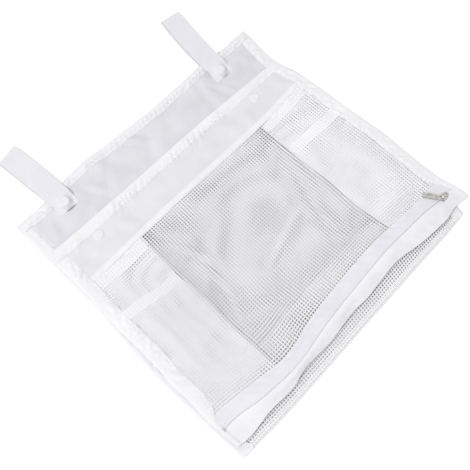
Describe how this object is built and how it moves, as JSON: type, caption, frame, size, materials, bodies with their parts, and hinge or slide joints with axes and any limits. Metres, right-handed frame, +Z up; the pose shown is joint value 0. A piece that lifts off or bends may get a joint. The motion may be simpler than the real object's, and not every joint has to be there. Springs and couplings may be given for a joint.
{
  "type": "bath toy organizer",
  "caption": "Hanging net bag laid flat: folded side and bottom gussets, zip along the foot with slider and pull tab, mouth flap with press snaps, webbing loops that snap shut.",
  "frame": {"origin": "on the surface that the bag lies on, under the middle of its outline with the loops", "axes": "+X along the zip to the end where the slider rests, +Y from the foot of the bag to its hanging loops, +Z up from the surface to the front of the bag"},
  "size_m": [0.356, 0.413, 0.0178],
  "materials": {
    "cloth": "plain woven polyester",
    "hem": "folded polyester binding",
    "net": "square knitted polyester net",
    "webbing": "flat woven strap",
    "zip_tape": "woven zip tape",
    "zip_coil": "nylon coil",
    "zip_metal": "nickel-plated zinc",
    "snap": "moulded acetal, satin"
  },
  "bodies": {
    "bag": {"back_band": "cloth", "back_net": "net", "back_left_hem": "hem", "back_right_hem": "hem", "back_top_hem": "hem", "back_bottom_seam": "net", "front_net": "net", "front_left_hem": "hem", "front_right_hem": "hem", "left_gusset_back_band": "cloth", "left_gusset_band_hem": "hem", "left_gusset_upper_net": "net", "left_gusset_tape": "hem", "left_gusset_lower_net": "net", "right_gusset_back_band": "cloth", "right_gusset_band_hem": "hem", "right_gusset_upper_net": "net", "right_gusset_tape": "hem", "right_gusset_lower_net": "net", "bottom_gusset_net": "net", "upper_zip_tape": "zip_tape", "lower_zip_tape": "zip_tape", "upper_zip_coil": "zip_coil", "lower_zip_coil": "zip_coil", "zip_left_seam": "hem", "zip_right_seam": "hem", "zip_left_stop": "zip_metal", "zip_right_stop": "zip_metal", "left_loop_strap": "webbing", "right_loop_strap": "webbing", "left_loop_snap_stud": "snap", "left_loop_snap_rear_cap": "snap", "right_loop_snap_stud": "snap", "right_loop_snap_rear_cap": "snap", "left_mouth_snap_stud": "snap", "left_mouth_snap_rear_cap": "snap", "right_mouth_snap_stud": "snap", "right_mouth_snap_rear_cap": "snap"},
    "mouth_flap": {"front_band": "cloth", "front_band_left_hem": "hem", "front_band_right_hem": "hem", "front_top_hem": "hem", "left_gusset_front_band": "cloth", "right_gusset_front_band": "cloth", "left_mouth_snap_cap": "snap", "left_mouth_snap_socket": "snap", "right_mouth_snap_cap": "snap", "right_mouth_snap_socket": "snap"},
    "slider": {"zip_slider": "zip_metal"},
    "pull_tab": {"zip_pull_tab": "zip_metal"},
    "left_flap": {"left_loop_flap": "webbing", "left_loop_snap_cap": "snap", "left_loop_snap_socket": "snap"},
    "right_flap": {"right_loop_flap": "webbing", "right_loop_snap_cap": "snap", "right_loop_snap_socket": "snap"}
  },
  "joints": [
    {"name": "mouth_open", "type": "hinge", "parent": "bag", "child": "mouth_flap", "pos_m": [0, 0.0285, 0.0092], "axis": [1, 0, 0], "range_deg": [0, 60]},
    {"name": "zip_slide", "type": "slide", "parent": "bag", "child": "slider", "axis": [1, 0, 0], "range_m": [-0.332, 0]},
    {"name": "pull_tab_swing", "type": "hinge", "parent": "slider", "child": "pull_tab", "pos_m": [0.16345, -0.1765, 0.015], "axis": [0, 0, 1], "range_deg": [-75, 185]},
    {"name": "left_loop_lift", "type": "hinge", "parent": "bag", "child": "left_flap", "pos_m": [-0.12, 0.20325, 0.0087], "axis": [-1, 0, 0], "range_deg": [0, 170]},
    {"name": "right_loop_lift", "type": "hinge", "parent": "bag", "child": "right_flap", "pos_m": [0.12, 0.20325, 0.0087], "axis": [-1, 0, 0], "range_deg": [0, 170]}
  ]
}
